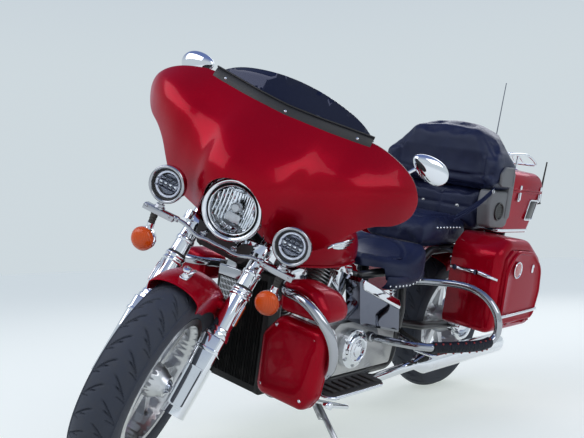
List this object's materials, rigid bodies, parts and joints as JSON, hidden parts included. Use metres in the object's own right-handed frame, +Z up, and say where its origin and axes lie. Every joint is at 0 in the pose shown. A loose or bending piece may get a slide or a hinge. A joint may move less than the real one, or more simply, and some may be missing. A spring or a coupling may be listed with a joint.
{
  "type": "full-dress touring cruiser motorcycle",
  "caption": "Red full-dress touring cruiser motorcycle with a fork-mounted fairing, trunk and saddlebags, leaning on its side stand with the steering at its left stop.",
  "frame": {"origin": "on the floor, under the centre of the whole machine's outline", "axes": "+Z up from the floor, +Y to the rear, +X to the rider's left, towards which the machine leans on its stand"},
  "size_m": [1.055, 2.3632, 1.4112],
  "materials": {
    "red_paint": "gloss",
    "chrome": "polished",
    "frame_black": "satin",
    "steel": "satin",
    "engine_silver": "satin",
    "fork_alloy": "polished",
    "wheel_alloy": "polished",
    "tyre": "matte",
    "radiator_black": "matte",
    "seat_leather": "satin",
    "pod_grey": "matte",
    "antenna_black": "matte",
    "red_lens": "gloss",
    "footboard_rubber": "matte",
    "inner_black": "matte",
    "smoke": "gloss",
    "amber_lens": "gloss"
  },
  "bodies": {
    "chassis": {"frame": "frame_black", "swingarm": "frame_black", "rear_axle": "steel", "final_drive": "chrome", "rear_shocks": "chrome", "crankcase": "engine_silver", "cylinders": "engine_silver", "rocker_covers": "chrome", "engine_covers": "chrome", "side_covers": "chrome", "air_cleaner": "chrome", "radiator": "radiator_black", "exhaust": "chrome", "fuel_tank": "red_paint", "tank_console": "chrome", "rider_seat": "seat_leather", "passenger_seat": "seat_leather", "passenger_backrest": "seat_leather", "lumbar_pad": "seat_leather", "speaker_pods": "pod_grey", "trunk_base": "red_paint", "antennas": "antenna_black", "saddlebags": "red_paint", "bag_rails": "chrome", "rear_guards": "chrome", "rear_fender": "red_paint", "tail_lamp": "red_lens", "plate_bracket": "frame_black", "engine_guard": "chrome", "leg_shields": "red_paint", "floorboards": "footboard_rubber", "foot_controls": "chrome"},
    "steering": {"fork_legs": "fork_alloy", "fork_covers": "chrome", "triple_clamps": "chrome", "fairing_bracket": "frame_black", "front_axle": "steel", "front_caliper": "engine_silver", "front_fender": "red_paint", "fender_ornament": "chrome", "fairing_outer": "red_paint", "fairing_inner": "inner_black", "windshield": "smoke", "headlight": "chrome", "driving_lamps": "chrome", "light_bar": "chrome", "turn_signals": "amber_lens", "handlebar": "chrome", "mirrors": "chrome"},
    "front_wheel": {"front_wheel": "wheel_alloy", "front_tyre": "tyre"},
    "rear_wheel": {"rear_wheel": "wheel_alloy", "rear_tyre": "tyre"},
    "side_stand": {"side_stand": "steel"},
    "trunk_lid": {"trunk_lid": "red_paint", "luggage_rack": "chrome"},
    "left_bag_lid": {"left_bag_lid": "red_paint"},
    "right_bag_lid": {"right_bag_lid": "red_paint"}
  },
  "joints": [
    {"name": "steering_head", "type": "hinge", "parent": "chassis", "child": "steering", "pos_m": [0.05051, -0.5557, 0.78053], "axis": [0.1965, 0.5215, 0.8303], "range_deg": [-65.2, 0]},
    {"name": "front_wheel_spin", "type": "hinge", "parent": "steering", "child": "front_wheel", "pos_m": [-0.04904, -0.89049, 0.29031], "axis": [0.7534, 0.4617, -0.4683], "continuous": true},
    {"name": "rear_wheel_spin", "type": "hinge", "parent": "chassis", "child": "rear_wheel", "pos_m": [-0.06331, 0.77037, 0.31625], "axis": [0.9728, 0.0024, -0.2317], "continuous": true},
    {"name": "side_stand_fold", "type": "hinge", "parent": "chassis", "child": "side_stand", "pos_m": [0.04437, -0.26053, 0.15365], "axis": [0.5723, -0.1538, 0.8055], "range_deg": [0, 100.1]},
    {"name": "trunk_lid_hinge", "type": "hinge", "parent": "chassis", "child": "trunk_lid", "pos_m": [-0.16115, 0.97838, 1.00373], "axis": [0, -0.9999, -0.0102], "range_deg": [0, 75]},
    {"name": "left_bag_hinge", "type": "hinge", "parent": "chassis", "child": "left_bag_lid", "pos_m": [0.39062, 0.62376, 0.32586], "axis": [0, 0.9999, 0.0102], "range_deg": [0, 55]},
    {"name": "right_bag_hinge", "type": "hinge", "parent": "chassis", "child": "right_bag_lid", "pos_m": [-0.46348, 0.62169, 0.52933], "axis": [0, -0.9999, -0.0102], "range_deg": [0, 55]}
  ]
}
